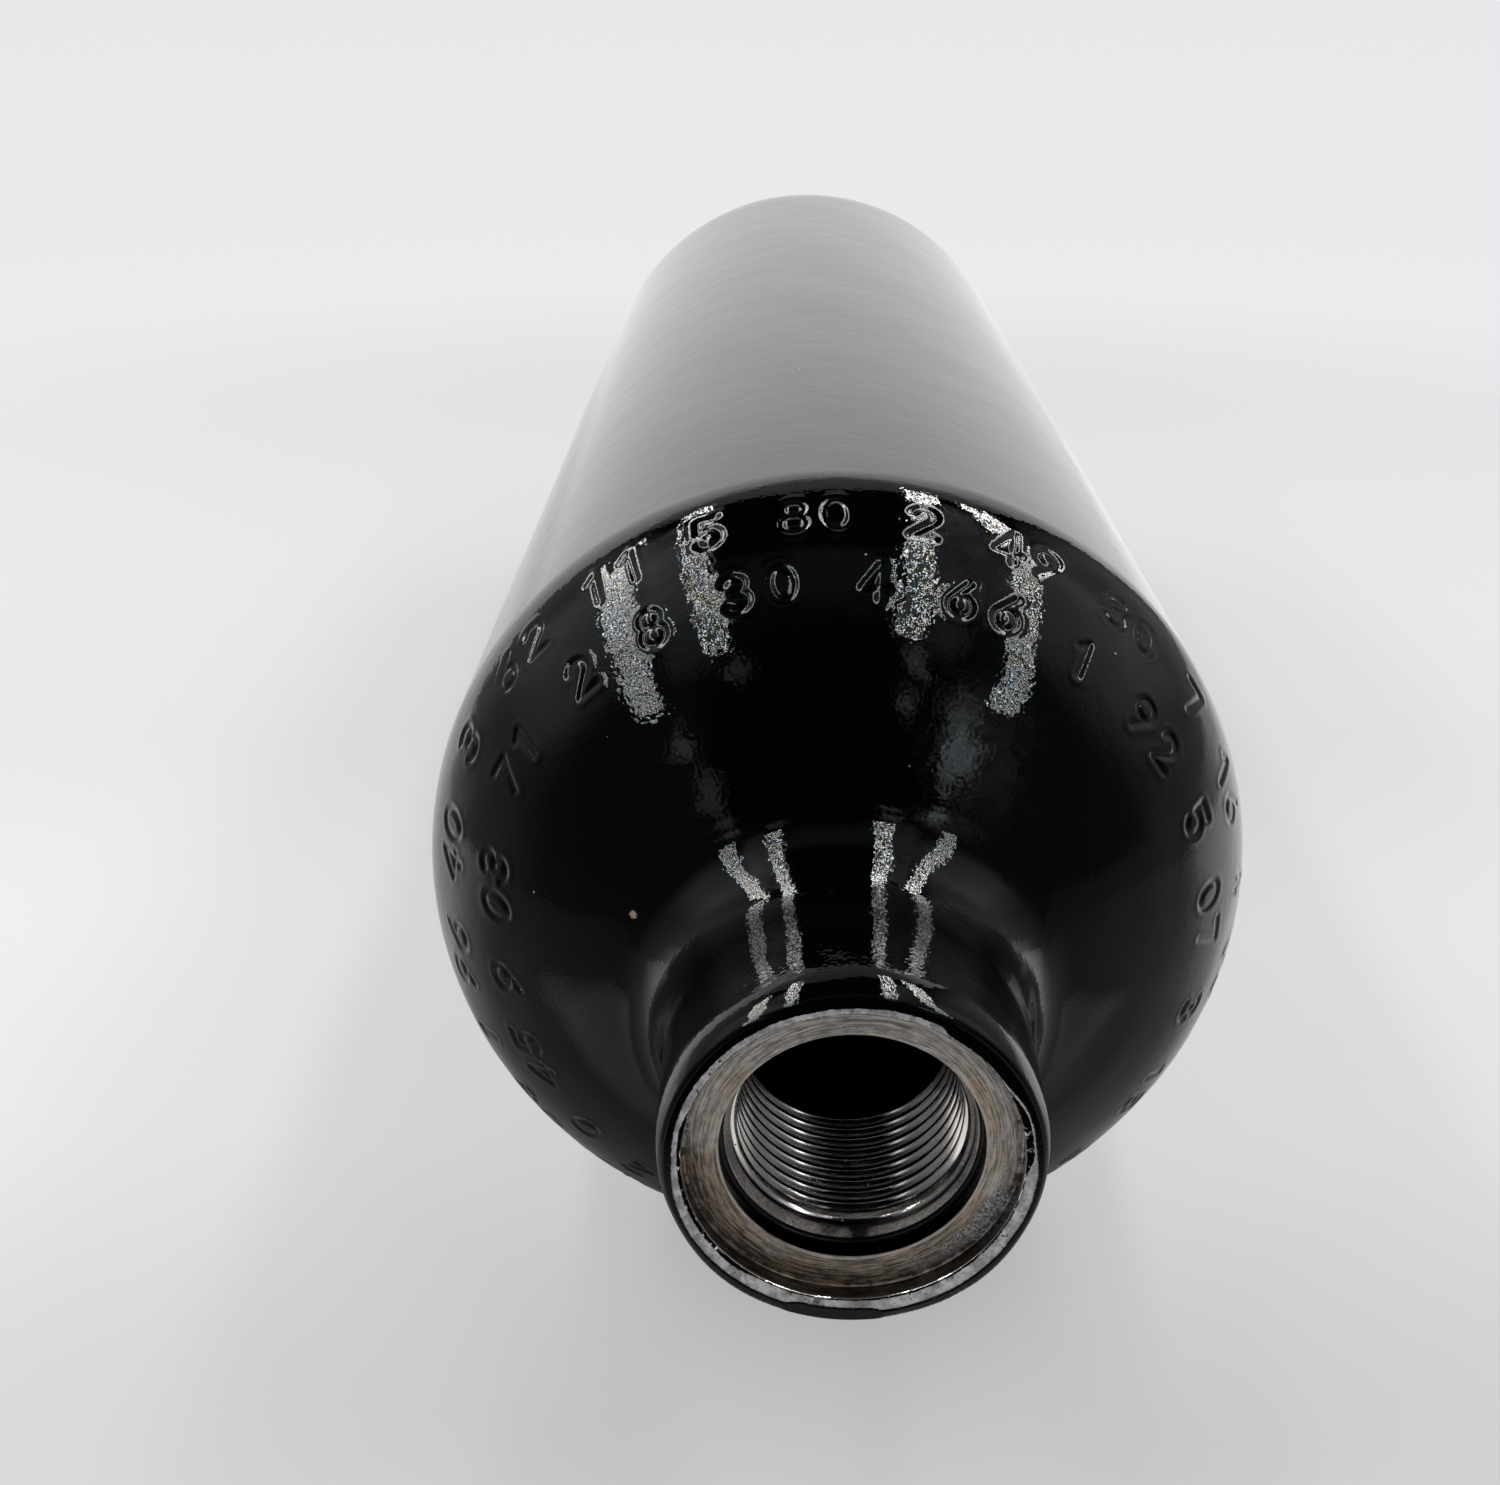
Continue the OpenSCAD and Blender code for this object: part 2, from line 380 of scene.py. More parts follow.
def stamp_row(text, middle, s_mid, height, gap, wobble, seed):
    """Digits along one row: (angle, place along the outline, height, tilt, strokes, depth factor)."""
    r = np.random.default_rng(seed)
    step = math.degrees(gap / float(PAINTED.point(s_mid)[0]))
    start = math.degrees(middle) - step * (len(text) - 1) / 2
    out = []
    for i, ch in enumerate(text):
        jitter = r.uniform(-1, 1, 4)
        if ch in DIGITS:
            turn = (start + step * i + 180) % 360 - 180
            drift = -STAMP_DRIFT * float(smooth((-turn - 55) / 40)) if turn < 0 else 0.0
            out.append(
                (
                    math.radians(turn + 0.35 * jitter[0]),
                    s_mid + drift + wobble * math.sin(math.radians(turn) * 1.5 + seed) + 0.22 * jitter[1],
                    height * (1 + 0.02 * jitter[2]),
                    math.radians(3.0 * jitter[3]),
                    DIGITS[ch],
                    0.8 + 0.3 * r.uniform(),
                )
            )
    return out


def stamp_relief(phi, s, stamps):
    """How far the surface at phi, s is pressed in (below 0) or bulges, in mm."""
    relief = np.zeros(np.broadcast(phi, s).shape)
    for at, s_mid, height, tilt, strokes, force in stamps:
        u = ((phi - at + math.pi) % (2 * math.pi) - math.pi) * float(PAINTED.point(s_mid)[0])
        v = s - s_mid
        near = (np.abs(u) < height) & (np.abs(v) < height)
        if not near.any():
            continue
        uu, vv = (x[near] for x in np.broadcast_arrays(u, v))
        ut = uu * math.cos(tilt) - vv * math.sin(tilt)
        vt = uu * math.sin(tilt) + vv * math.cos(tilt)
        cx, cy = CELL_MID
        lines = [[((x - cx) * height, (y - cy) * height) for x, y in line] for line in strokes]
        edge = stroke_distance(ut, vt, lines) - STROKE_W / 2
        press = -STAMP_DEPTH * force * (1 - smooth((edge + STAMP_SOFT) / (2 * STAMP_SOFT)))
        bulge = STAMP_BULGE * force * np.exp(-(((edge - STAMP_SOFT * 1.3) / BULGE_W) ** 2))
        relief[near] = np.where(np.abs(press) > np.abs(relief[near]), press + bulge, relief[near] + bulge)
    return relief


# ---------------------------------------------------------------- the paint
PAINT_COLS = 1200
# Front of the paint, level with the front of the part's own coats, mm
FRONT_AT = 0.07
# Height of each slow wave in the forged and painted surface, mm
WAVE = 0.012
# Thickness of the paint's mesh behind the neck, so that the pressed digits stay in it, mm
PAINT_BACK = 0.36
# How much thicker the paint hangs under the lip, mm
DROOP = 0.42


def plain_tree(rows=240, cols=180):
    """The painted outline turned about the axis, for placing things on it by image point."""
    pts = PAINTED.point(np.linspace(0, PAINTED.length, rows))
    rings = turn_about(pts[:, :1], pts[:, 1:], ring_angles(cols))
    return BVHTree.FromPolygons((rings.reshape(-1, 3) * MM).tolist(), ring_quads(rows, cols)[:-cols])


TREE = plain_tree()


def surface_place(name):
    """Angle and length along the outline of the place that an image point shows."""
    p = place(*IMAGE_POINTS[name], TREE)
    x, depth, z = p.x / MM, p.y / MM + BODY_LEN / 2, p.z / MM - BODY_R
    return math.atan2(x, z), PAINTED.at_depth(depth)


OUTER_PHI, OUTER_S = surface_place("stamps_outer")
INNER_PHI, INNER_S = surface_place("stamps_inner")
CHIP_PHI, CHIP_S = surface_place("paint_chip")
CHIP_AT = tuple(place(*IMAGE_POINTS["paint_chip"], TREE))

OUTER_TEXT = "3 0 1 24 07 58 1 96 40 3 62 11 5 80 2 49 30 7 16 4 05 28 3 91 0 6 73 2 4"
INNER_TEXT = "6 12 0 45 9 03 71 2 8 30 4 66 1 92 5 07 3 18 20 4 59"
STAMPS = stamp_row(OUTER_TEXT, OUTER_PHI, OUTER_S, height=5.6, gap=5.4, wobble=0.25, seed=3)
STAMPS += stamp_row(INNER_TEXT, INNER_PHI, INNER_S, height=5.1, gap=5.5, wobble=0.45, seed=8)


def paint_rows():
    """Lengths along the outline at which the paint has rows, close together where the digits are."""
    lip, neck, crease, wall, base = (PAINTED.at_depth(d) for d in (LIP_ROUND, 9, NECK_LEN, WALL_FROM, WALL_TO))
    low, high = INNER_S - 4.4 - STAMP_DRIFT, OUTER_S + 4.4
    stops = (lip, neck, crease - 4, crease + 3, low, high, wall + 3, base)
    counts = (30, 8, 26, 34, 104, 14, 36)
    parts = [np.linspace(a, b, n, endpoint=False) for a, b, n in zip(stops, stops[1:], counts)]
    parts.append(base + (PAINTED.length - base) * np.sin(np.linspace(0, math.pi / 2, 34)))
    s = np.unique(np.concatenate(parts))
    return s[s < PAINTED.length - 1e-4]


def make_paint():
    """The topcoat: ragged front edge, fuller neck, pressed digits, slow waves, and its inner face."""
    cols = PAINT_COLS
    phi = ring_angles(cols)
    lip_full = PAINTED.at_depth(LIP_ROUND)
    # the ragged front edge, in mm along the outline from the rim's inner edge
    rag = round_table(cols, PAINT_EDGE, 2.5) - RIM_FROM
    rag += 0.05 * ring_noise(cols, 1, (7, 1), (17, 0.8), (37, 0.6))
    rag += 0.03 * ring_noise(cols, 2, (71, 1), (120, 0.9), (190, 0.8))
    rag = np.clip(rag, 0.06, RIM_FLAT + 0.5)
    s_rows = paint_rows()
    first = rag + PAINT_BREAK[-1][0]
    rows = [(rag + along, up) for along, up in PAINT_BREAK]
    rows += [(first + (s_rows[0] - first) * i / 15, 0.0) for i in range(1, 15)]
    rows += [(s + 0 * phi, 0.0) for s in s_rows]
    s = np.array([row[0] for row in rows])
    up = np.array([[row[1]] for row in rows])
    relief = np.zeros(s.shape)
    band = (s[:, 0] > INNER_S - 4.2 - STAMP_DRIFT) & (s[:, 0] < OUTER_S + 4.2)
    relief[band] = stamp_relief(phi, s[band], STAMPS)
    # the paint is fuller behind the lip than the straight neck, and rolls off towards it from a wavy line
    roll_from = NECK_BEAD + 0.45 * ring_noise(cols, 11, (2, 1), (5, 0.7), (9, 0.5))
    depth = PAINTED.point(s)[..., 1]
    rolled = neck_radius(depth, roll_from) - neck_radius(depth)
    sag = np.where((s > lip_full) & (depth < NECK_LEN), rolled, 0.0) * smooth(s - lip_full)
    # slow waves in the paint and in the forging under it, none of them above the outline
    wave = np.zeros(s.shape)
    r = np.random.default_rng(7)
    for _ in range(14):
        k = int(r.integers(2, 16))
        q = r.uniform(0.05, 0.5)
        wave += WAVE * np.sin(k * phi + q * s + r.uniform(0, 6.28)) * np.cos(0.7 * q * s + r.uniform(0, 6.28))
    share = smooth((s - lip_full) / 6) * smooth((PAINTED.length - s) / 10)
    wave *= share
    wave -= wave.max() * share
    # the paint hangs thicker under the lip
    droop = DROOP * smooth((-np.cos(phi) - 0.35) / 0.55) * smooth((s - first) / 0.8)
    droop = droop * smooth(s - RIM_FLAT + 0.4) * (1 - smooth((depth - 4) / 8))
    r_out, d_out = PAINTED.under(s, -(up + relief + sag + wave + droop))
    # held to the widest and the foremost place of the part's own coats
    outer = turn_about(np.minimum(r_out, BODY_R), np.maximum(d_out, FRONT_AT), phi)
    neck, behind, wall, base = (PAINTED.at_depth(d) for d in (NECK_LEN, NECK_LEN + 1, WALL_FROM, WALL_TO))
    s_in = np.concatenate(
        [
            np.linspace(PAINTED.length, base, 24),
            np.linspace(base - 30, wall, 5),
            np.linspace(wall - 2, neck, 70),
            [PAINTED.at_depth(d) for d in NECK_ROWS],
        ]
    )
    inner = [film_ring(v, PAINT_BACK if v > behind else TOPCOAT_T, phi) for v in s_in]
    return ring_mesh("black_paint", np.concatenate([outer, [turn_about(0, BODY_LEN, phi)], inner]))


# ---------------------------------------------------------------- shader helpers
class Nodes:
    """Short-hand for building a node tree. A value may be a number, a colour, a vector or a node's output."""

    def __init__(self, tree):
        self.tree = tree
        tree.nodes.clear()

    def put(self, value, socket):
        if isinstance(value, bpy.types.NodeSocket):
            self.tree.links.new(value, socket)
        elif value is not None:
            socket.default_value = (*value, 1) if socket.type == "RGBA" else value

    def fit(self, node, *inputs, **values):
        """Puts inputs on a node's sockets in order, and values on its properties or its sockets by name."""
        for key, value in values.items():
            if hasattr(node, key):
                setattr(node, key, value)
            else:
                self.put(value, node.inputs[key.replace("_", " ")])
        for value, socket in zip(inputs, node.inputs):
            self.put(value, socket)
        return node

    def new(self, kind, *inputs, **values):
        return self.fit(self.tree.nodes.new("ShaderNode" + kind), *inputs, **values)

    def math(self, op, a, b=None):
        return self.new("Math", a, b, operation=op).outputs[0]

    def vector(self, op, a, b=None):
        return self.new("VectorMath", a, b, operation=op).outputs["Value" if op == "LENGTH" else "Vector"]

    def chain(self, op, values):
        """The sum, product or greatest of two or more values, taken from the left."""
        out = values[0]
        for v in values[1:]:
            out = self.math(op, out, v)
        return out

    def add(self, *values):
        return self.chain("ADD", values)

    def mul(self, *values):
        return self.chain("MULTIPLY", values)

    def max(self, *values):
        return self.chain("MAXIMUM", values)

    def sub(self, a, b):
        return self.math("SUBTRACT", a, b)

    def div(self, a, b):
        return self.math("DIVIDE", a, b)

    def remap(self, value, lo, hi, out_lo=0.0, out_hi=1.0, kind="SMOOTHSTEP"):
        return self.new("MapRange", value, lo, hi, out_lo, out_hi, interpolation_type=kind).outputs["Result"]

    def noise(self, at, scale, detail=3.0, rough=0.55, distort=0.0):
        values = {"Scale": scale, "Detail": detail, "Roughness": rough, "Distortion": distort}
        return self.new("TexNoise", at, **values).outputs["Fac"]

    def colour(self, fac, a, b):
        node = self.new("Mix", fac, data_type="RGBA")
        self.put(a, node.inputs[6])
        self.put(b, node.inputs[7])
        return node.outputs[2]

    def bump(self, height, strength, distance, normal=None):
        values = {"Height": height, "Strength": strength, "Distance": distance, "Normal": normal}
        return self.new("Bump", **values).outputs["Normal"]


def node_material(name):
    """A material, its nodes, its output's surface and the place on the object."""
    mat = bpy.data.materials.new(name)
    mat.use_nodes = True
    n = Nodes(mat.node_tree)
    return mat, n, n.new("OutputMaterial").inputs["Surface"], n.new("TexCoord").outputs["Object"]


def new_material(name):
    mat, n, surface, at = node_material(name)
    shader = n.new("BsdfPrincipled")
    n.put(shader.outputs[0], surface)
    return mat, n, shader, at


def paint_material():
    mat, n, shader, at = new_material("gloss_black_paint")
    dust = n.new("TexVoronoi", at, Scale=420)
    chosen = n.new("SeparateColor", dust.outputs["Color"]).outputs[0]
    speck = n.mul(n.remap(dust.outputs["Distance"], 0.09, 0.06), n.remap(chosen, 0.975, 0.98))
    film = n.mul(n.remap(n.noise(at, 38, 5, 0.62, 0.5), 0.5, 0.85), 0.6)
    base = n.colour(n.noise(at, 14, 2), (0.0003, 0.0007, 0.0008), (0.0006, 0.0012, 0.0012))
    base = n.colour(film, base, (0.0014, 0.0020, 0.0021))
    base = n.colour(speck, base, (0.20, 0.21, 0.21))
    # one chip through the paint, longer along the cylinder
    off = n.vector("MULTIPLY", n.vector("SUBTRACT", at, CHIP_AT), (1.0, 0.42, 0.9))
    ragged = n.add(n.vector("LENGTH", off), n.mul(n.sub(n.noise(at, 2400, 3, 0.6), 0.5), 0.0007))
    chip = n.remap(ragged, 0.00050, 0.00036)
    rough = n.remap(n.noise(at, 45, 5, 0.6), 0.35, 0.75, 0.018, 0.06)
    # slow waves, orange peel, grain and the chip's hollow
    nrm = n.bump(n.noise(at, 90, 3, 0.55), 1.0, 0.00008)
    nrm = n.bump(n.noise(at, 700, 1, 0.5), 1.0, 0.000012, nrm)
    nrm = n.bump(n.noise(at, 1900, 0, 0.5), 1.0, 0.000010, nrm)
    n.fit(
        shader,
        Base_Color=n.colour(chip, base, (0.42, 0.33, 0.24)),
        Roughness=n.add(rough, n.mul(n.max(speck, chip), 0.5)),
        IOR=1.5,
        Specular_IOR_Level=0.5,
        Specular_Tint=(0.27, 0.30, 0.31),
        Normal=n.bump(n.sub(1.0, chip), 1.0, 0.0001, nrm),
    )
    return mat


def finish_piece(obj, slot, mat, *nodes):
    """Gives a piece its material and body, and hides the CAD nodes that it stands in for. Its slot is not used.
    """
    obj.data.materials.append(mat)
    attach(obj, "root")
    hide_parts(*nodes)
    return obj


COATS = ("black_coat_shoulder", "black_coat_wall", "black_coat_base")
PAINT = finish_piece(make_paint(), "black_topcoat", paint_material(), *COATS)


# ---------------------------------------------------------------- the primer
PRIMER_COLS = 900


def make_primer():
    """The whole primer film. Its front edge is chipped round the rim, where it shows."""
    cols = PRIMER_COLS
    phi = ring_angles(cols)
    rag = round_table(cols, PRIMER_EDGE, 4) - RIM_FROM
    rag += 0.03 * ring_noise(cols, 21, (4, 1), (9, 0.9), (21, 0.7))
    rag += 0.03 * ring_noise(cols, 22, (47, 1), (101, 1), (160, 0.8))
    rag = np.clip(rag, 0.0, 0.9)
    rings = [turn_about(*PAINTED.under(rag + along, back), phi) for along, back in PRIMER_BREAK]
    lip, behind, near, far, wall, middle, base = (
        PAINTED.at_depth(d) for d in (LIP_ROUND, NECK_LEN, 36, 37, WALL_FROM, 180, WALL_TO)
    )
    for i in range(1, 19):
        t = i / 18
        s = (rag + PRIMER_BREAK[-1][0]) * (1 - t) + lip * t
        pit = 0.012 * ring_noise(cols, 40 + i, (30 + 7 * i, 1), (77 + 5 * i, 1))
        rings.append(turn_about(*PAINTED.under(s, TOPCOAT_T + np.abs(pit)), phi))
    s_film = np.concatenate(
        [
            [PAINTED.at_depth(d) for d in NECK_ROWS[:0:-1]],
            np.linspace(behind - 1, near, 40),
            np.linspace(far, wall, 30),
            [middle, base],
            np.linspace(base + 4, PAINTED.length, 24),
        ]
    )
    rings += [film_ring(s, COAT_T - 0.015, phi) for s in s_film]
    rings += [film_ring(s, COAT_T, phi) for s in (*s_film[::-1], lip, lip - 0.7, lip - 1.4)]
    return ring_mesh("grey_primer", np.array(rings))


def primer_material():
    mat, n, shader, at = new_material("chipped_primer")
    patch = n.noise(at, 700, 4, 0.65)
    stain = n.noise(at, 240, 3, 0.6, 0.6)
    grime = n.remap(n.noise(at, 1500, 3, 0.7), 0.6, 0.7)
    pale = n.colour(n.remap(patch, 0.35, 0.65), (0.36, 0.355, 0.35), (0.80, 0.81, 0.83))
    dirty = n.colour(n.remap(stain, 0.55, 0.72), pale, (0.20, 0.18, 0.16))
    n.fit(
        shader,
        Base_Color=n.colour(grime, dirty, (0.03, 0.03, 0.03)),
        Roughness=n.remap(patch, 0.3, 0.7, 0.45, 0.8),
        Normal=n.bump(patch, 0.8, 0.00008),
    )
    return mat


finish_piece(make_primer(), "primer", primer_material(), "primer_coat")


# ---------------------------------------------------------------- the neck with its valve port
PORT_COLS = 540
# Place of the helix at the top of the port, mm along the axis
THREAD_PHASE = 0.91
# Depth over width of the lead chamfer
LEAD_SLOPE = 2.25
CREST_FLAT = THREAD_PITCH / 4
ROOT_FLAT = THREAD_PITCH / 8
FLANK = (THREAD_PITCH - CREST_FLAT - ROOT_FLAT) / 2
# The thread's grooves get painted shade outside this radius
GROOVE_SHADE_R = 12.93
# Rounding of the landing face's corner, its inner edge and the seat's corner, mm
FACE_ROUND, EDGE_ROUND, SEAT_ROUND = 0.2, 0.1, 0.25


def thread_radius(phase):
    """Radius of the thread at a place along its pitch, 0 in the middle of a groove."""
    x = np.abs((phase + THREAD_PITCH / 2) % THREAD_PITCH - THREAD_PITCH / 2)
    return ROOT_R + (CREST_R - ROOT_R) * np.clip((x - ROOT_FLAT / 2) / FLANK, 0, 1)


def make_port():
    """The neck and its port, from the boss's split round the rim and down the bore, closed in itself."""
    cols = PORT_COLS
    phi = ring_angles(cols)
    rings = []

    def ring(r, d):
        rings.append(turn_about(r, d, phi))

    # the outside, under the coats, from the boss's split to the rim
    split_r = CREASE_R - COAT_T
    for r in np.linspace(THROAT_R, split_r, 6):
        ring(r, float(cavity_at(r)))
    ring(split_r, NECK_LEN)
    lip = np.linspace(PAINTED.at_depth(LIP_ROUND), RIM_FLAT, 9)
    for s in (*(PAINTED.at_depth(d) for d in NECK_ROWS), *lip, RIM_FLAT * 0.6):
        rings.append(film_ring(s, COAT_T, phi))
    # the rim's flat, with nicks along the recess's edge
    nick = ring_noise(cols, 52, (7, 1), (19, 1), (43, 0.8))
    nick = 0.03 * np.abs(ring_noise(cols, 51, (11, 1), (37, 1), (83, 1))) + 0.10 * smooth((nick - 0.75) / 0.2)
    ring(RECESS_R + 0.22 + nick, COAT_T)
    ring(RECESS_R + 0.08 + nick * 0.8, COAT_T + 0.03 + nick * 0.3)
    ring(RECESS_R + nick * 0.2, COAT_T + 0.16 + nick)
    for d in np.linspace(COAT_T + 0.45, FACE_AT - 0.25, 6):
        ring(RECESS_R, d)
    # a small fillet, then the landing face with turned ripples
    for a in np.linspace(0, math.pi / 2, 5):
        ring(RECESS_R - FACE_ROUND * (1 - math.cos(a)), FACE_AT - FACE_ROUND + FACE_ROUND * math.sin(a))
    ripple = np.random.default_rng(9)
    for r in np.linspace(RECESS_R - 0.3, SEAT_R + 0.12, 34):
        ring(r, FACE_AT + 0.012 * ripple.uniform(-1, 1))
    for a in np.linspace(0, math.pi / 2, 4):
        ring(SEAT_R + EDGE_ROUND * (1 - math.sin(a)), FACE_AT + EDGE_ROUND * (1 - math.cos(a)))
    for d in np.linspace(FACE_AT + 0.5, SEAT_FLOOR - 0.35, 5):
        ring(SEAT_R, d)
    for a in np.linspace(0, math.pi / 2, 5):
        ring(SEAT_R - SEAT_ROUND * (1 - math.cos(a)), SEAT_FLOOR - SEAT_ROUND + SEAT_ROUND * math.sin(a))
    for r in np.linspace(SEAT_R - 0.32, LEAD_R + 0.04, 4):
        ring(r, SEAT_FLOOR)
    # the thread: rows follow the helix, and are held between the lead chamfer's mouth and the throat
    marks = [0, *(ROOT_FLAT / 2 + FLANK * share for share in (0, 0.33, 0.66, 0.94))]
    marks += [ROOT_FLAT / 2 + FLANK + 0.03, THREAD_PITCH / 2]
    marks += [THREAD_PITCH - m for m in marks[-2:0:-1]]
    helix = THREAD_FROM + THREAD_PITCH * phi / (2 * math.pi) + THREAD_PHASE
    start = len(rings)
    for turn in range(-3, THREAD_TURNS + 3):
        for mark in marks:
            depth = helix + turn * THREAD_PITCH + mark
            at = np.clip(depth, SEAT_FLOOR, THREAD_TO)
            r = np.maximum(thread_radius(at - helix), LEAD_R - (at - SEAT_FLOOR) / LEAD_SLOPE)
            r = np.where(depth <= SEAT_FLOOR, LEAD_R, r)
            ring(np.where(depth >= THREAD_TO, ROOT_R, r), at)
    stop = len(rings)
    throat_at = float(cavity_at(THROAT_R))
    for t in np.linspace(0, 1, 5)[1:-1]:
        ring(ROOT_R + (THROAT_R - ROOT_R) * t, THREAD_TO + (throat_at - THREAD_TO) * t)
    # after a whole turn, a row of the thread runs into the one a pitch further on
    ends = np.arange(len(rings))
    ends[start:stop - len(marks)] += len(marks)
    return ring_mesh("threaded_neck", np.array(rings), ends)


def steel_material():
    mat, n, shader, at = new_material("turned_steel")
    x, y, raised = n.new("SeparateXYZ", at).outputs
    z = n.sub(raised, BODY_R * MM)
    radius = n.math("SQRT", n.add(n.mul(x, x), n.mul(z, z)))
    depth = n.add(y, BODY_LEN / 2 * MM)

    def turned(size):
        """Coordinates that follow the turning: the way round on a circle of this size in m, and the radius."""
        return n.new("CombineXYZ", *(n.mul(n.div(v, radius), size) for v in (x, z)), radius).outputs[0]

    def between(value, lo, hi, soft=0.12):
        """1 from lo to hi, in mm, and fading out beyond them."""
        return n.mul(n.remap(value, (lo - soft) * MM, lo * MM), n.remap(value, (hi + soft) * MM, hi * MM))

    def zone(depths, radii):
        return n.mul(between(depth, *depths), between(radius, *radii))

    face = zone((FACE_AT - 0.15, FACE_AT + 0.08), (SEAT_R + 0.02, RECESS_R))
    recess = zone((COAT_T + 0.3, FACE_AT - 0.3), (RECESS_R - 0.15, RECESS_R + 0.1))
    seat_wall = zone((FACE_AT + 0.25, SEAT_FLOOR + 0.03, 0.1), (LEAD_R + 0.08, SEAT_R + 0.1, 0.08))
    land = zone((SEAT_FLOOR - 0.2, SEAT_FLOOR + 1.6), (CREST_R, SEAT_R + 0.2))
    lathe = n.noise(turned(0.0007), 6500, 1, 0.5)
    lathe_wide = n.noise(turned(0.0007), 1500, 3, 0.6)
    mottle = n.noise(turned(0.0050), 2300, 5, 0.72)
    blotch = n.noise(at, 190, 4, 0.62, 0.4)
    grains = n.noise(at, 3600, 3, 0.6)
    pits = n.new("TexVoronoi", at, Scale=1900).outputs["Distance"]

    def towards(deg, lo, hi):
        """A soft share of the ring, around an angle from the top."""
        c, q = math.sin(math.radians(deg)), math.cos(math.radians(deg))
        along = n.div(n.add(n.mul(x, c), n.mul(z, q)), radius)
        return n.remap(n.add(along, n.mul(n.sub(blotch, 0.5), 0.5)), lo, hi)

    outer_half = n.remap(n.add(radius, n.mul(n.sub(blotch, 0.5), 2.4 * MM)), 15.7 * MM, 16.5 * MM)
    # the turned face: grey-beige, finely ringed and mottled, golden on its inner half, darker towards the lower
    # left, with painted shade outside at the left
    tone = n.add(n.mul(lathe, 0.52), n.mul(mottle, 0.48))
    tan = n.colour(n.remap(tone, 0.36, 0.64), (0.20, 0.207, 0.182), (0.74, 0.68, 0.62))
    gold = n.colour(n.remap(tone, 0.36, 0.64), (0.17, 0.128, 0.075), (0.72, 0.54, 0.35))
    dark = n.colour(n.remap(tone, 0.42, 0.62), (0.028, 0.019, 0.014), (0.32, 0.25, 0.185))
    golden = n.mul(n.sub(1.0, outer_half), n.remap(n.add(blotch, n.mul(mottle, 0.5)), 0.68, 0.86))
    golden = n.mul(golden, n.max(towards(-120, 0.15, 0.6), towards(100, 0.45, 0.8)))
    face_wear_shade_highlight = n.colour(n.mul(golden, 0.75), tan, gold)
    face_wear_shade_highlight = n.colour(n.mul(towards(-165, 0.0, 0.55), 0.62), face_wear_shade_highlight, dark)
    # painted shade on the face's outer half at the left
    face_wear_shade_highlight = n.colour(n.mul(outer_half, towards(-140, 0.30, 0.75), 0.85), face_wear_shade_highlight, dark)
    # a sandblasted patch on its outer half at the lower right, a painted highlight on its inner edge and a
    # dirty corner
    blasted = n.mul(outer_half, towards(120, 0.86, 0.97), face)
    sandy = n.colour(n.remap(grains, 0.42, 0.58), (0.13, 0.125, 0.12), (0.58, 0.58, 0.59))
    face_wear_shade_highlight = n.colour(blasted, face_wear_shade_highlight, sandy)
    # painted highlight along the face's inner edge
    painted_edge_highlight = n.mul(n.remap(radius, (SEAT_R + 0.34) * MM, (SEAT_R + 0.16) * MM), n.remap(blotch, 0.35, 0.55))
    face_wear_shade_highlight = n.colour(n.mul(painted_edge_highlight, 0.7), face_wear_shade_highlight, (0.72, 0.68, 0.63))
    dirt = n.remap(n.noise(at, 900, 4, 0.7), 0.46, 0.6)
    corner = n.mul(n.remap(radius, (RECESS_R - 1.0) * MM, (RECESS_R - 0.1) * MM), dirt)
    face_wear_shade_highlight = n.colour(corner, face_wear_shade_highlight, (0.035, 0.028, 0.022))
    # the bright bore, and the greyer step and chamfer before the thread
    bright = n.colour(n.remap(lathe, 0.3, 0.7), (0.80, 0.78, 0.75), (0.95, 0.93, 0.90))
    cloudy = n.remap(n.add(n.mul(blotch, 0.5), n.mul(grains, 0.5)), 0.4, 0.6)
    step = n.colour(cloudy, (0.34, 0.32, 0.30), (0.74, 0.72, 0.69))
    # painted dark reflection at the bottom of the step and chamfer
    step = n.colour(towards(180, 0.90, 1.02), step, (0.02, 0.018, 0.016))
    colour = n.colour(face, n.colour(land, bright, step), face_wear_shade_highlight)
    wall = n.colour(n.remap(lathe_wide, 0.3, 0.7), (0.07, 0.06, 0.05), (0.26, 0.235, 0.21))
    colour = n.colour(recess, colour, wall)
    paint_left = n.remap(n.noise(at, 1400, 4, 0.6), 0.70, 0.58)
    rim = n.mul(n.remap(depth, (COAT_T + 0.12) * MM, (COAT_T + 0.04) * MM), paint_left)
    colour = n.colour(rim, colour, (0.004, 0.004, 0.004))
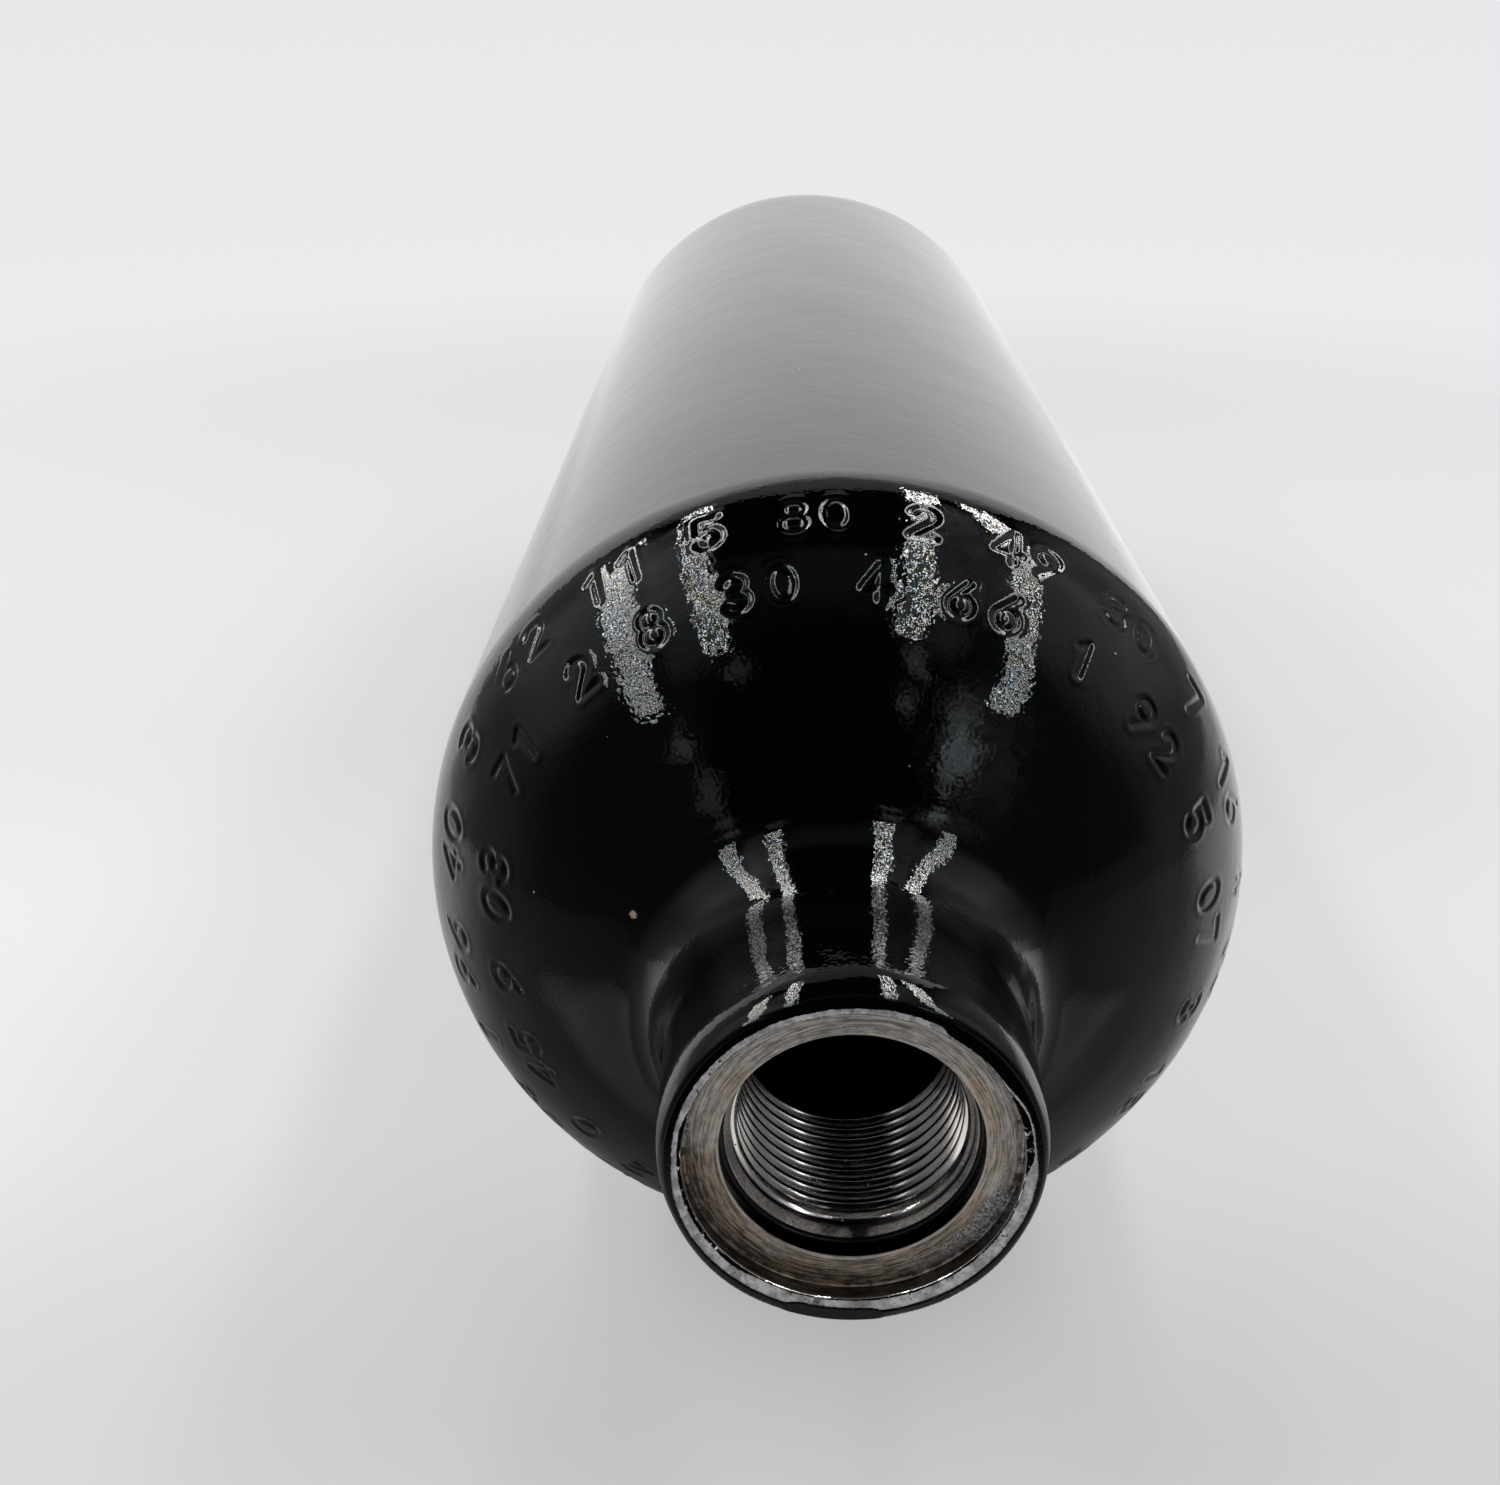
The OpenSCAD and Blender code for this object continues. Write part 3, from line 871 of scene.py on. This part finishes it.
    # painted shade, dark, in the bottom of the thread, on the seat's wall and beyond the thread
    cone = n.sub(LEAD_R * MM, n.div(n.sub(depth, SEAT_FLOOR * MM), LEAD_SLOPE))
    sunk = n.sub(radius, n.max(n.add(cone, 0.04 * MM), GROOVE_SHADE_R * MM))
    # painted shade in the bottom of the thread's grooves
    groove = n.mul(n.remap(sunk, 0.0, 0.26 * MM), between(depth, SEAT_FLOOR + 0.2, THREAD_TO + 0.5))
    colour = n.colour(groove, colour, (0.012, 0.011, 0.010))
    # painted shade on the seat's wall
    colour = n.colour(seat_wall, colour, (0.008, 0.007, 0.006))
    # painted shade deep in the bore, beyond the thread
    beyond = n.remap(depth, (THREAD_TO - 3) * MM, (THREAD_TO + 1) * MM)
    colour = n.colour(beyond, colour, (0.01, 0.009, 0.008))
    pit = n.mul(n.remap(pits, 0.22, 0.1), n.remap(n.noise(at, 420, 3, 0.6), 0.52, 0.62))
    rough = n.remap(lathe, 0.3, 0.7, 0.10, 0.20)
    rough = n.add(rough, n.add(n.mul(face, 0.34), n.mul(land, 0.2)), n.mul(pit, 0.3))
    nrm = n.bump(lathe, 0.4, 0.00002)
    nrm = n.bump(tone, n.mul(face, 0.6), 0.00008, nrm)
    nrm = n.bump(n.mul(grains, blasted), 0.9, 0.00008, nrm)
    n.fit(
        shader,
        Base_Color=n.colour(pit, colour, (0.02, 0.016, 0.012)),
        Metallic=n.sub(1.0, n.add(n.mul(face, 0.65), n.mul(land, 0.6))),
        Roughness=rough,
        Normal=n.bump(n.sub(1.0, pit), 0.6, 0.00004, nrm),
    )
    return mat


finish_piece(make_port(), "machined_steel", steel_material(), "neck_boss")


# ---------------------------------------------------------------- the CAD steel inside
def raw_steel_material():
    mat, n, shader, at = new_material("raw_steel")
    scale = n.noise(at, 60, 5, 0.6)
    fine = n.noise(at, 700, 3, 0.6)
    n.fit(
        shader,
        Base_Color=n.colour(n.remap(scale, 0.35, 0.65), (0.06, 0.056, 0.052), (0.17, 0.155, 0.14)),
        Metallic=1.0,
        Roughness=n.remap(fine, 0.3, 0.7, 0.45, 0.75),
        Normal=n.bump(fine, 0.5, 0.00008),
    )
    return mat


RAW = raw_steel_material()
for node in ("shoulder_dome", "cylinder_wall", "bottom_dome"):
    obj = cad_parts[node]
    obj.data.materials.clear()
    obj.data.materials.append(RAW)


# ---------------------------------------------------------------- the stage and the light
# Height of the light bars, m
BAR_Z = 0.60
# Each light bar: its middle across the room, its slant, its width, its near end and its far end, m
BARS = (
    (-0.60, 0.10, 0.17, -0.52, 0.50),
    (-0.30, 0.0, 0.08, -0.36, 0.50),
    (0.178, 0.03, 0.075, -0.35, 0.50),
    (0.449, -0.20, 0.13, -0.52, 0.50),
)
# Radiance of the bars, and the strength of their lamps over it
BAR_RADIANCE = 5.4
BAR_GAIN = 1.15
# What reflections see of a bar: dots of light, their distance apart, and the strip between them
DOT_PITCH = 0.020
DOT_GLOW = 60.0
STRIP_GLOW = 1.6
# Paler ceiling between the outer pairs of bars, as x over height, and its brightness
PANELS = ((-0.93, -0.60), (0.36, 0.60))
PANEL_GLOW = 0.5
# Soft patches of light high in the front of the room: direction, half width, brightness
PATCHES = (
    ((0.50, -0.68, 0.54), 0.10, 3.2),
    ((0.56, -0.62, 0.55), 0.26, 0.5),
    ((0.50, -0.57, 0.65), 0.10, 1.3),
    ((0.31, -0.45, 0.84), 0.08, 1.6),
    ((-0.62, -0.58, 0.53), 0.08, 1.5),
    ((-0.41, -0.44, 0.80), 0.08, 0.9),
    ((0.28, -0.61, 0.74), 0.07, 1.5),
    ((-0.53, -0.75, 0.39), 0.08, 1.2),
)
# Distances from a patch's middle are stretched by this, so that it is narrow across the room
PATCH_SHAPE = (1.5, 1.0, 1.0)
# Top edge of the lit backdrop behind the cylinder: place across and height, both over the distance
BACKDROP = (
    (-1.0, 0.0), (-0.95, 0.02), (-0.89, 0.19), (-0.77, 0.39), (-0.66, 0.55), (-0.53, 0.77), (-0.30, 0.93),
    (0.075, 0.95), (0.41, 0.79), (0.55, 0.6), (0.60, 0.25), (0.62, 0.0), (1.0, 0.0),
)
# Colour of the backdrop that the camera sees, by height of the view direction
PALE = (
    (-1.0, (0.70, 0.69, 0.70)),
    (-0.72, (0.76, 0.75, 0.765)),
    (-0.45, (0.80, 0.785, 0.805)),
    (-0.2, (0.845, 0.83, 0.85)),
    (0.05, (0.80, 0.785, 0.81)),
    (1.0, (0.74, 0.73, 0.75)),
)
# The paper fades out between these distances from the middle, m
FLOOR_FADE = (0.30, 0.70)
PAPER = (0.72, 0.711, 0.7245)
# Reflections see the paper end nearer than the camera does: at the left, the right and the front, m
GLOSS_LEFT, GLOSS_RIGHT, GLOSS_FRONT = (-0.24, -0.32), (0.30, 0.42), (-0.40, -0.48)
# Share of the paper's own paleness in the camera's view, and its colours from near to far: painted shade near,
# painted light in the middle
FLOOR_LIFT = 0.45
FLOOR_NEAR, FLOOR_MIDDLE, FLOOR_FAR = (0.72, 0.708, 0.725), (0.95, 0.935, 0.955), (0.80, 0.785, 0.805)
# Colour and share of the two places of painted light far in front that reflections see
FRONT_PALE = (1.0, 0.985, 1.0)
FRONT_SHARE = 0.92


def make_bars():
    mat, n, surface, at = node_material("light_dots")
    dots = n.new("TexVoronoi", at, voronoi_dimensions="2D", Scale=1 / DOT_PITCH, Randomness=0.3)
    tint = n.new("SeparateColor", dots.outputs["Color"]).outputs[0]
    tint = n.colour(tint, (1.0, 0.86, 0.70), (0.80, 0.90, 1.0))
    glow = n.remap(dots.outputs["Distance"], 0.27, 0.19, STRIP_GLOW, DOT_GLOW)
    n.put(n.new("Emission", tint, glow).outputs[0], surface)
    mat.cycles.emission_sampling = "NONE"
    for i, (x, slant, width, y0, y1) in enumerate(BARS):
        lamp = bpy.data.lights.new(f"bar_{i}", "AREA")
        lamp.shape = "RECTANGLE"
        lamp.size, lamp.size_y = width, y1 - y0
        lamp.energy = BAR_RADIANCE * math.pi * width * (y1 - y0) * BAR_GAIN
        lamp.color = (1.0, 0.985, 0.97)
        obj = link_object(f"bar_{i}", lamp)
        obj.location = (x + slant * (y0 + y1) / 2, (y0 + y1) / 2, BAR_Z)
        obj.rotation_euler = (0, 0, -math.atan(slant))
        obj.visible_camera = obj.visible_glossy = False
        hx, z = width / 2, BAR_Z - 0.002
        near, far = x + slant * y0, x + slant * y1
        corners = [(near - hx, y0, z), (near + hx, y0, z), (far + hx, y1, z), (far - hx, y1, z)]
        mesh = bpy.data.meshes.new(f"bar_dots_{i}")
        mesh.from_pydata(corners, [], [(0, 3, 2, 1)])
        mesh.materials.append(mat)
        dot = link_object(f"bar_dots_{i}", mesh)
        dot.visible_camera = dot.visible_diffuse = dot.visible_shadow = False


def make_world():
    world = bpy.data.worlds.new("room")
    bpy.context.scene.world = world
    world.use_nodes = True
    n = Nodes(world.node_tree)
    out = n.new("OutputWorld")
    heading = n.new("TexCoord").outputs["Generated"]
    dx, dy, dz = n.new("SeparateXYZ", heading).outputs
    ahead = n.max(dy, 0.02)
    u, v = n.div(dx, ahead), n.div(dz, ahead)
    # the lit backdrop behind the cylinder
    edge = n.new("FloatCurve")
    points = edge.mapping.curves[0].points
    while len(points) > 2:
        points.remove(points[-1])
    for i, (across, height) in enumerate(BACKDROP):
        spot = ((across + 1) / 2, height)
        if i < 2:
            points[i].location = spot
        else:
            points.new(*spot)
    edge.mapping.update()
    n.put(n.remap(u, -1.0, 1.0, kind="LINEAR"), edge.inputs["Value"])
    lit = n.remap(n.sub(v, edge.outputs[0]), 0.004, -0.014)
    inside = n.mul(n.remap(u, -1.0, -0.92), n.remap(u, 0.63, 0.56))
    lit = n.mul(lit, inside, n.remap(dy, 0.03, 0.06))
    # the rest of the room: side walls paler higher up, a dim ceiling, a dark front, the ground beyond the paper
    beside = n.remap(n.math("ABSOLUTE", dx), 0.42, 0.62)
    low = n.remap(dy, -0.30, 0.05, 0.12, 0.28)
    high = n.mul(n.remap(dy, 0.62, 0.42), n.remap(dz, 0.08, 0.40, 0.0, 0.45), n.remap(dy, -0.28, 0.05))
    above = n.mul(n.remap(dz, 0.55, 0.8), n.remap(dy, 0.22, 0.06), n.remap(dy, -0.42, -0.05, 0.0, 0.20))
    sides = n.max(n.mul(n.add(low, high), beside), above)
    ground = n.add(n.remap(dy, 0.15, 0.85, 0.15, 0.72), n.remap(dx, 0.0, 1.0, 0.0, 0.12))
    ground = n.mul(ground, n.remap(dz, 0.0, -0.10))
    # paler panels of the ceiling, and ragged patches of light in the front
    up = n.max(dz, 0.05)
    across, along = n.div(dx, up), n.div(dy, up)
    ceiling = n.mul(n.remap(along, -0.6, -0.3), n.remap(along, 1.1, 0.9))
    ceiling = n.mul(ceiling, n.remap(n.noise(heading, 7, 3, 0.6, 0.4), 0.35, 0.6, 0.5, 1.0))
    ragged = n.noise(heading, 15, 4, 0.62, 0.7)
    glows = []
    for x0, x1 in PANELS:
        panel = n.mul(n.remap(across, x0 - 0.05, x0 + 0.05), n.remap(across, x1 + 0.05, x1 - 0.05))
        glows.append(n.mul(panel, ceiling, PANEL_GLOW))
    for direction, width, strength in PATCHES:
        off = n.vector("SUBTRACT", heading, Vector(direction).normalized())
        reach = n.vector("LENGTH", n.vector("MULTIPLY", off, PATCH_SHAPE))
        spread = n.add(reach, n.mul(n.sub(ragged, 0.5), width * 3.2))
        glows.append(n.remap(spread, width * 1.6, 0.0, 0.0, strength))
    room = n.add(n.max(sides, ground), n.add(*glows))
    glow = n.add(n.mul(lit, n.remap(v, 0.50, 0.66, 0.98, 0.30)), n.mul(n.sub(1.0, lit), room))
    grey = n.new("CombineColor", *(n.mul(glow, share) for share in (1.0, 0.985, 1.008))).outputs[0]
    pale = n.new("ValToRGB", n.remap(dz, -1.0, 1.0, kind="LINEAR"))
    stops = pale.color_ramp.elements
    for i, (height, colour) in enumerate(PALE):
        at = (height + 1) / 2
        stop = stops[i] if i < 2 else stops.new(at)
        stop.position, stop.color = at, (*colour, 1)
    is_camera = n.new("LightPath").outputs["Is Camera Ray"]
    back = n.new("Background", n.colour(is_camera, grey, pale.outputs[0]))
    n.put(back.outputs[0], out.inputs["Surface"])


def make_floor(size=1.0):
    mesh = bpy.data.meshes.new("floor")
    corners = [(-size, -size, 0), (size, -size, 0), (size, size, 0), (-size, size, 0)]
    mesh.from_pydata(corners, [], [(0, 1, 2, 3)])
    floor = link_object("floor", mesh)
    mat, n, surface, at = node_material("paper")
    x, y = n.new("SeparateXYZ", at).outputs[:2]
    beside = n.math("ABSOLUTE", x)
    path = n.new("LightPath")
    shiny, seen = path.outputs["Is Glossy Ray"], path.outputs["Is Camera Ray"]
    # what a reflection sees of the paper: painted shade in front at the sides, paler behind and just in front
    # in the middle, and a painted shadow further in front in the middle
    share = n.mul(n.remap(y, -0.145, -0.07, 0.44, 1.2), n.remap(x, -0.06, 0.06, 0.80, 1.08))
    share = n.max(share, n.mul(n.remap(y, -0.155, -0.18), n.remap(beside, 0.15, 0.10)))
    middle = n.mul(n.remap(y, -0.26, -0.29), n.remap(beside, 0.080, 0.030))
    share = n.mul(share, n.sub(1.0, n.mul(middle, 0.96)))
    mirrored = n.new("CombineColor", *[n.math("MINIMUM", n.mul(share, PAPER[0]), 0.95)] * 3).outputs[0]
    paper = n.new("BsdfDiffuse", n.colour(shiny, PAPER, mirrored))
    # painted shade on the near paper and painted light in the middle, in its own paleness
    tone = n.colour(n.remap(y, -0.19, -0.11), FLOOR_NEAR, FLOOR_MIDDLE)
    tone = n.colour(n.remap(y, -0.06, 0.05), tone, FLOOR_FAR)
    pale = n.new("Emission", n.colour(shiny, tone, FRONT_PALE), 1.0)
    # painted light: two pale places far in front of the cylinder, seen in reflections
    painted_front_light = n.mul(n.remap(beside, 0.030, 0.080), n.remap(beside, 0.15, 0.10), n.remap(y, -0.24, -0.30))
    lift = n.add(n.mul(seen, FLOOR_LIFT), n.mul(shiny, painted_front_light, FRONT_SHARE))
    lifted = n.new("MixShader", lift, paper.outputs[0], pale.outputs[0]).outputs[0]
    far = n.math("SQRT", n.add(n.math("POWER", x, 2.0), n.math("POWER", y, 2.0)))
    near_end = n.max(n.remap(x, *GLOSS_RIGHT), n.remap(y, *GLOSS_FRONT), n.remap(x, *GLOSS_LEFT))
    gone = n.max(n.remap(far, *FLOOR_FADE), n.mul(near_end, shiny))
    n.put(n.new("MixShader", gone, lifted, n.new("BsdfTransparent").outputs[0]).outputs[0], surface)
    mat.cycles.emission_sampling = "NONE"
    mesh.materials.append(mat)


make_bars()
make_world()
make_floor()

bpy.context.scene.view_settings.view_transform = "Standard"


# ---------------------------------------------------------------- where the features fall in the image, worked out but not written anywhere
def ring_spot(r, depth):
    return to_image(turn_about(r, depth, np.linspace(0, 2 * math.pi, 1441)) * MM)


def write_reports():
    verts = np.array([v.co for v in PAINT.data.vertices])
    seen = to_image(verts)
    rings = {
        "recess": ring_spot(RECESS_R, COAT_T),
        "face": ring_spot(SEAT_R, FACE_AT),
        "crease": ring_spot(CREASE_R, NECK_LEN),
    }
    front = verts[:, 1] < (8 - BODY_LEN / 2) * MM
    lip = seen[front]
    shown = {
        "object_left_x": (float(seen[:, 0].min()), None),
        "object_right_x": (float(seen[:, 0].max()), None),
        "object_top_y": (None, float(seen[:, 1].min())),
        "object_bottom_y": (None, float(seen[:, 1].max())),
        "lip_left": tuple(lip[lip[:, 0].argmin()]),
        "lip_right": tuple(lip[lip[:, 0].argmax()]),
        "recess_bottom": tuple(rings["recess"][rings["recess"][:, 1].argmax()]),
        "recess_top": tuple(rings["recess"][rings["recess"][:, 1].argmin()]),
        "face_inner_left": tuple(rings["face"][rings["face"][:, 0].argmin()]),
        "face_inner_right": tuple(rings["face"][rings["face"][:, 0].argmax()]),
        "face_inner_bottom": tuple(rings["face"][rings["face"][:, 1].argmax()]),
        "crease_top": tuple(rings["crease"][rings["crease"][:, 1].argmin()]),
    }
    placed = {
        "stamps_outer": (OUTER_PHI, OUTER_S),
        "stamps_inner": (INNER_PHI, INNER_S),
        "paint_chip": (CHIP_PHI, CHIP_S),
    }
    for name, (phi, s) in placed.items():
        r, d = PAINTED.point(s)
        shown[name] = tuple(to_image([turn_about(r, d, phi) * MM])[0])


write_reports()
